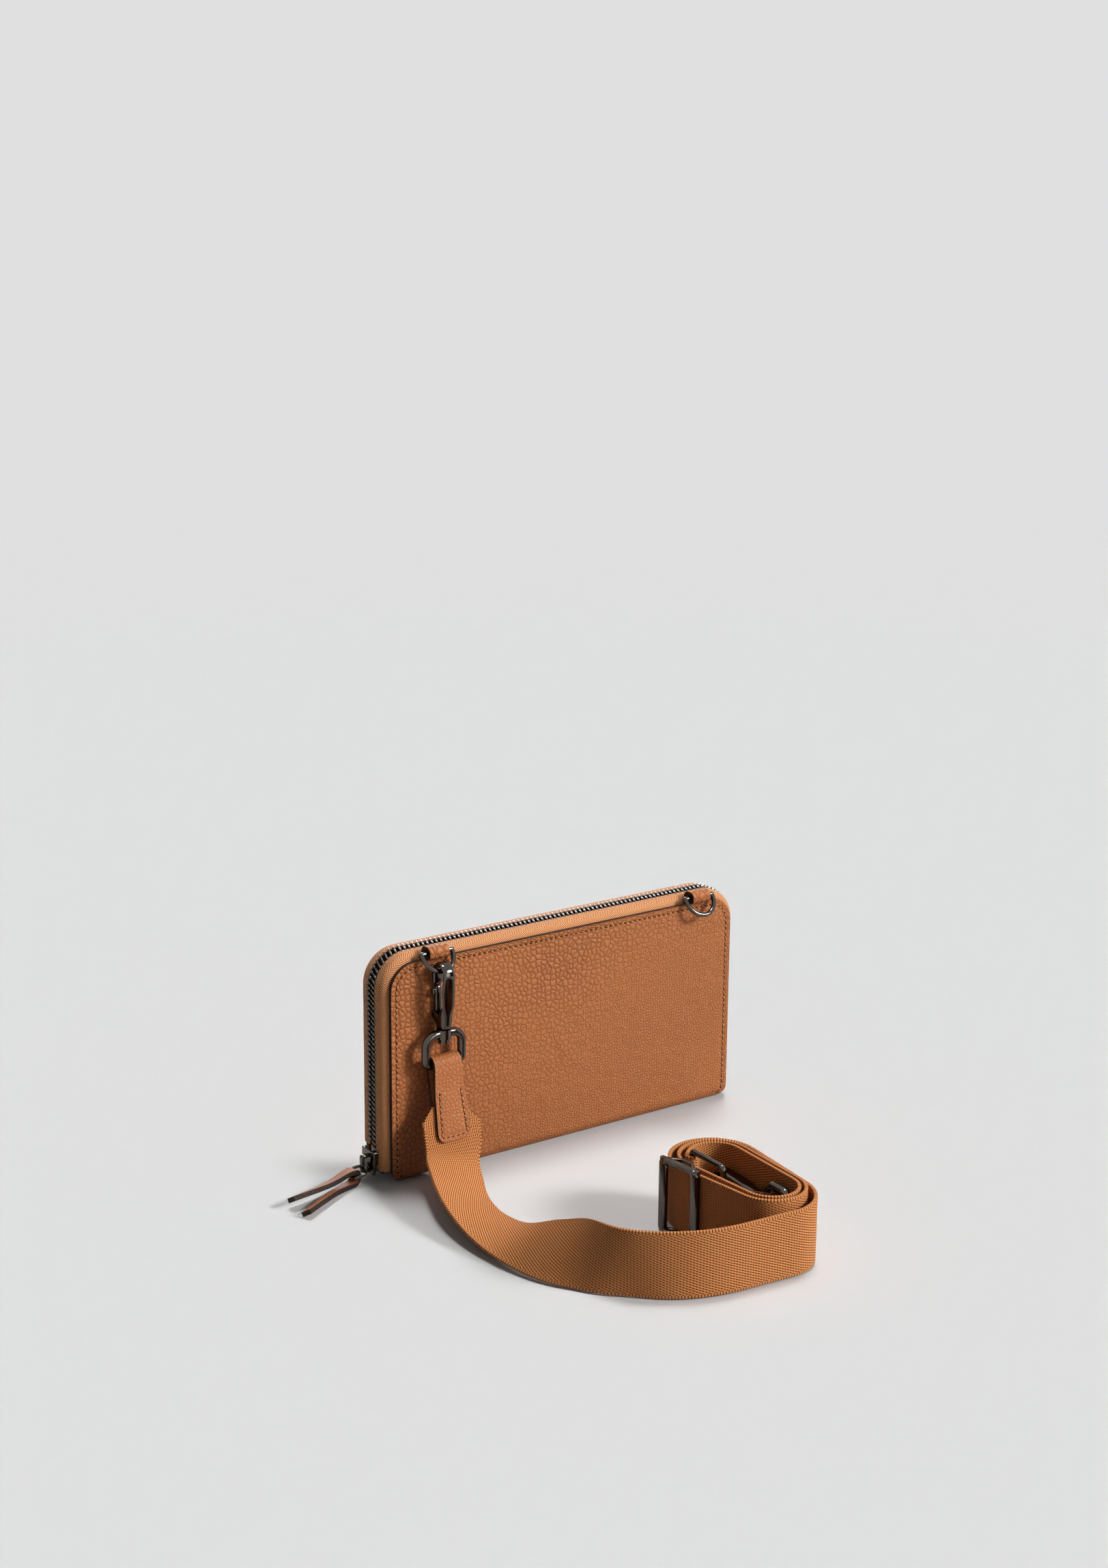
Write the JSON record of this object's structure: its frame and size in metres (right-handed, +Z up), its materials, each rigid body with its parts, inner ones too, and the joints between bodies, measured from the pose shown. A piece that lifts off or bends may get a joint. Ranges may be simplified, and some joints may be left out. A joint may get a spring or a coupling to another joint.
{
  "type": "phone pouch",
  "caption": "Zip-around pebbled leather phone pouch standing on its spine, with D-rings and a clip-on woven strap that drops from a snap hook and is rolled up in front.",
  "frame": {"origin": "middle of the pouch's spine, on the surface that it stands on", "axes": "+X along the spine, towards the bare D-ring; -Y out of the face that the strap hangs in front of; +Z up"},
  "size_m": [0.237, 0.1877, 0.106],
  "materials": {
    "tan_leather": "pebbled, satin",
    "strip_leather": "smooth, satin",
    "lining_leather": "smooth, matte",
    "lining_cloth": "plain weave",
    "zip_tape": "herringbone weave",
    "zip_metal": "gunmetal, satin",
    "polished_metal": "gunmetal, polished",
    "webbing": "twill weave"
  },
  "bodies": {
    "pouch": {"front_cover": "tan_leather", "front_lining": "lining_cloth", "slip_pocket": "lining_leather", "front_tape": "zip_tape", "front_teeth": "zip_metal", "left_loop": "tan_leather", "right_loop": "tan_leather", "zip_stop": "zip_metal", "left_gusset": "lining_cloth", "right_gusset": "lining_cloth"},
    "rear_half": {"rear_cover": "tan_leather", "rear_lining": "lining_cloth", "rear_tape": "zip_tape", "rear_teeth": "zip_metal", "card_slot_1": "lining_leather", "card_slot_2": "lining_leather", "card_slot_3": "lining_leather"},
    "zip_slider": {"slider_body": "polished_metal", "slider_bail": "polished_metal"},
    "pull_ring": {"pull_ring": "polished_metal"},
    "pull_strip": {"pull_strip": "strip_leather"},
    "left_d_ring": {"left_d_ring": "polished_metal"},
    "right_d_ring": {"right_d_ring": "polished_metal"},
    "hook": {"hook_body": "polished_metal", "gate_pin": "polished_metal", "swivel_rivet": "polished_metal"},
    "gate": {"hook_gate": "polished_metal"},
    "swivel": {"swivel_ring": "polished_metal"},
    "strap": {"strap_tab": "tan_leather", "strap_webbing": "webbing", "square_ring": "polished_metal", "far_link": "tan_leather", "far_hook_body": "polished_metal", "far_hook_gate": "polished_metal", "far_gate_pin": "polished_metal", "far_swivel_rivet": "polished_metal", "far_swivel_ring": "polished_metal"},
    "adjuster": {"tri_glide": "polished_metal"}
  },
  "joints": [
    {"name": "cover_open", "type": "hinge", "parent": "pouch", "child": "rear_half", "pos_m": [0, 0.011, 0.00615], "axis": [-1, 0, 0], "range_deg": [0, 40], "deforming": ["left_gusset", "right_gusset"]},
    {"name": "zip_slide", "type": "slide", "parent": "pouch", "child": "zip_slider", "axis": [0, 0, 1], "range_m": [0, 0.065]},
    {"name": "pull_ring_swing", "type": "hinge", "parent": "zip_slider", "child": "pull_ring", "pos_m": [-0.0991, 0, 0.00665], "axis": [0, 1, 0], "range_deg": [-12, 45]},
    {"name": "pull_swing", "type": "hinge", "parent": "pull_ring", "child": "pull_strip", "pos_m": [-0.10726, -0.00151, 0.00415], "axis": [-0.342, 0.9397, 0], "range_deg": [-40, 60]},
    {"name": "left_ring_swing", "type": "hinge", "parent": "pouch", "child": "left_d_ring", "pos_m": [-0.0698, -0.0122, 0.1032], "axis": [-1, 0, 0], "range_deg": [0, 40]},
    {"name": "right_ring_swing", "type": "hinge", "parent": "pouch", "child": "right_d_ring", "pos_m": [0.072, -0.0122, 0.1032], "axis": [-1, 0, 0], "range_deg": [-18, 150]},
    {"name": "hook_swing", "type": "hinge", "parent": "left_d_ring", "child": "hook", "pos_m": [-0.0698, -0.01744, 0.09588], "axis": [-1, 0, 0], "range_deg": [0, 35]},
    {"name": "gate_open", "type": "hinge", "parent": "hook", "child": "gate", "pos_m": [-0.0698, -0.01304, 0.07568], "axis": [1, 0, 0], "range_deg": [0, 20], "stiffness_Nm_per_rad": 0.06, "springref_deg": -11.46},
    {"name": "hook_swivel", "type": "hinge", "parent": "hook", "child": "swivel", "pos_m": [-0.0698, -0.01744, 0.06788], "axis": [0, 0, 1], "range_deg": [-18, 18]},
    {"name": "strap_swing", "type": "hinge", "parent": "swivel", "child": "strap", "pos_m": [-0.0698, -0.01744, 0.05458], "axis": [-1, 0, 0], "range_deg": [0, 30]},
    {"name": "adjuster_slide", "type": "slide", "parent": "strap", "child": "adjuster", "axis": [0.1249, -0.9922, 0], "range_m": [-0.001, 0.008]}
  ]
}
